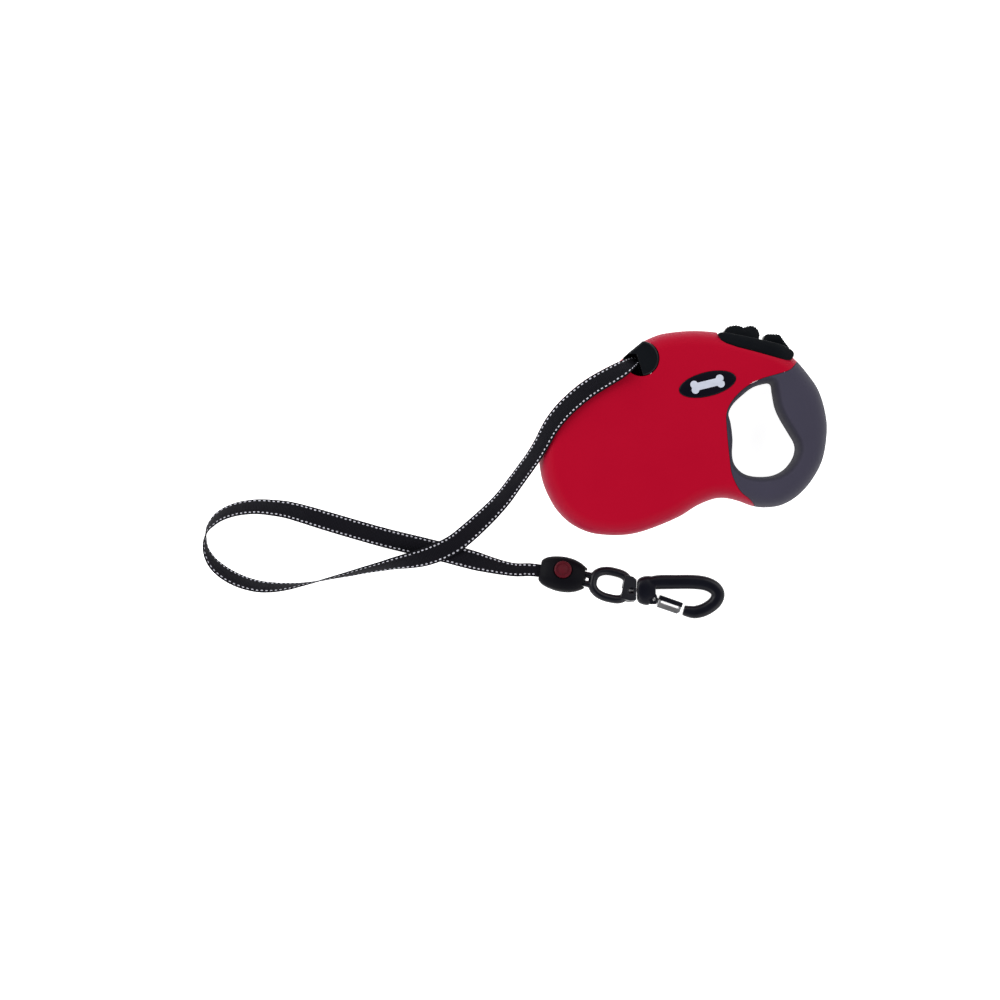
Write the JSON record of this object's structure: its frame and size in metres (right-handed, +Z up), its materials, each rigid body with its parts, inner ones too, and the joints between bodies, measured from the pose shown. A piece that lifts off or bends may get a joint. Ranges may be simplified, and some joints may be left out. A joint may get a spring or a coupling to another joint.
{
  "type": "retractable_leash",
  "caption": "Retractable tape leash with a ring-shaped hand grip, thumb brake and lock, and a swivelling snap hook on a looped flat tape",
  "frame": {"origin": "centre of the housing's bounding box in plan, on the flat side that it rests on", "axes": "+X from the front of the housing to the hand grip, +Y from the underside to the brake button, +Z up out of the resting side"},
  "size_m": [0.4464, 0.2092, 0.0501],
  "materials": {
    "red_shell": "satin red moulded plastic",
    "soft_grip": "soft-touch dark grey",
    "black_plastic": "fine matt texture",
    "inner_plastic": "moulded natural acetal",
    "badge": "gloss black oval with a plain bone icon",
    "steel": "bright steel",
    "webbing": "woven flat tape with reflective stitching along both edges",
    "collar_rubber": "moulded black rubber",
    "red_button": "dark red",
    "black_metal": "black coated zinc casting"
  },
  "bodies": {
    "housing": {"lower_shell": "red_shell", "upper_shell": "red_shell", "lower_grip": "soft_grip", "upper_grip": "soft_grip", "tape_nozzle": "black_plastic", "brake_bezel": "black_plastic", "upper_badge": "badge", "lower_badge": "badge", "case_screw_1": "steel", "case_screw_2": "steel", "case_screw_3": "steel", "case_screw_4": "steel", "case_screw_5": "steel", "reel_arbor": "steel", "power_spring": "steel", "tape_inner_run": "webbing", "leash_tape": "webbing", "end_collar": "collar_rubber", "collar_button": "red_button", "brake_return_spring": "steel"},
    "reel": {"reel_drum": "inner_plastic", "ratchet_ring": "black_plastic", "spring_cover": "inner_plastic", "wound_tape": "webbing", "reel_screw_1": "steel", "reel_screw_2": "steel", "reel_screw_3": "steel", "reel_screw_4": "steel"},
    "brake": {"brake_button": "black_plastic", "brake_pawl": "inner_plastic"},
    "lock": {"brake_lock": "black_plastic"},
    "link": {"link_ring": "black_metal"},
    "hook": {"hook_body": "black_metal", "swivel_rivet": "steel", "gate_pin": "steel", "gate_spring": "steel"},
    "gate": {"hook_gate": "steel"}
  },
  "joints": [
    {"name": "reel_spin", "type": "hinge", "parent": "housing", "child": "reel", "pos_m": [-0.0405, -0.015, 0.022], "axis": [0, 0, 1], "continuous": true},
    {"name": "brake_press", "type": "slide", "parent": "housing", "child": "brake", "axis": [-0.2079, -0.9781, 0], "range_m": [0, 0.004], "stiffness_N_per_m": 600, "springref_m": -0.004, "deforming": ["brake_return_spring"]},
    {"name": "brake_lock_slide", "type": "slide", "parent": "housing", "child": "lock", "axis": [-0.9781, 0.2079, 0], "range_m": [0, 0.0032]},
    {"name": "link_swing", "type": "hinge", "parent": "housing", "child": "link", "pos_m": [-0.07295, -0.10545, 0.009], "axis": [0.1851, 0.9525, -0.2419], "range_deg": [-32, 32]},
    {"name": "hook_swivel", "type": "hinge", "parent": "link", "child": "hook", "pos_m": [-0.0318, -0.1148, 0.0054], "axis": [1, 0, 0], "continuous": true},
    {"name": "gate_open", "type": "hinge", "parent": "hook", "child": "gate", "pos_m": [-0.0195, -0.121, 0.0054], "axis": [0, 0, 1], "range_deg": [0, 25], "stiffness_Nm_per_rad": 0.02, "springref_deg": -28.65, "deforming": ["gate_spring"]}
  ]
}
